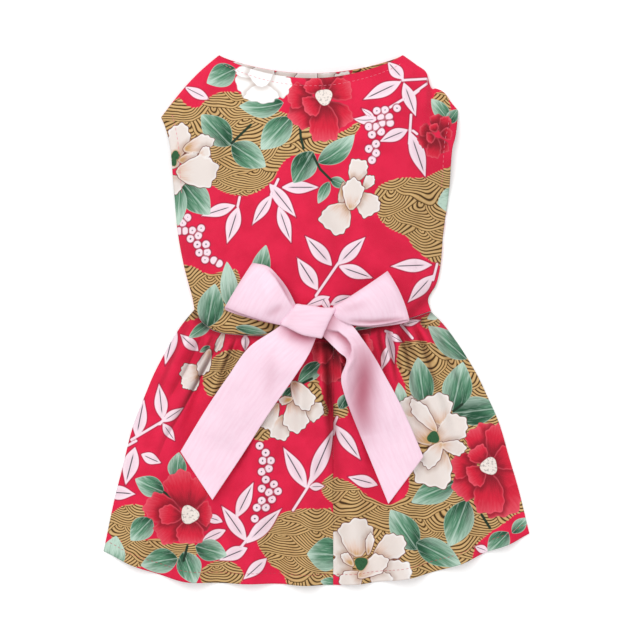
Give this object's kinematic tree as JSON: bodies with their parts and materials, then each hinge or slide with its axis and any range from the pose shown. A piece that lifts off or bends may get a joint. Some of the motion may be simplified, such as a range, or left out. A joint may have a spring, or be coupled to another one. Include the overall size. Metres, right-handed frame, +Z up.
{
  "type": "dog dress",
  "caption": "Sleeveless cotton dress for a small dog with a floral print, open neck, leg holes in the belly side, a gathered skirt and a satin bow at the waist, lying flat on its belly side.",
  "frame": {"origin": "on the floor, under the middle of the lying dress's bounding box", "axes": "+Y along the dress towards the neck, +Z up from the belly side to the back, +X to the wearer's right as seen from above"},
  "size_m": [0.307, 0.382, 0.0442],
  "materials": {
    "printed_cotton": "plain-weave printed cotton, matte with a slight sheen",
    "belly_cotton": "plain-weave printed cotton, matte with a slight sheen",
    "satin_ribbon": "soft pink satin with a silky gloss"
  },
  "bodies": {
    "root": {"bodice_back": "printed_cotton", "bodice_belly": "belly_cotton", "skirt_left": "printed_cotton", "skirt_right": "printed_cotton", "bow_knot": "satin_ribbon", "bow_loop_left": "satin_ribbon", "bow_loop_right": "satin_ribbon", "bow_tail_left": "satin_ribbon", "bow_tail_right": "satin_ribbon"}
  },
  "joints": []
}
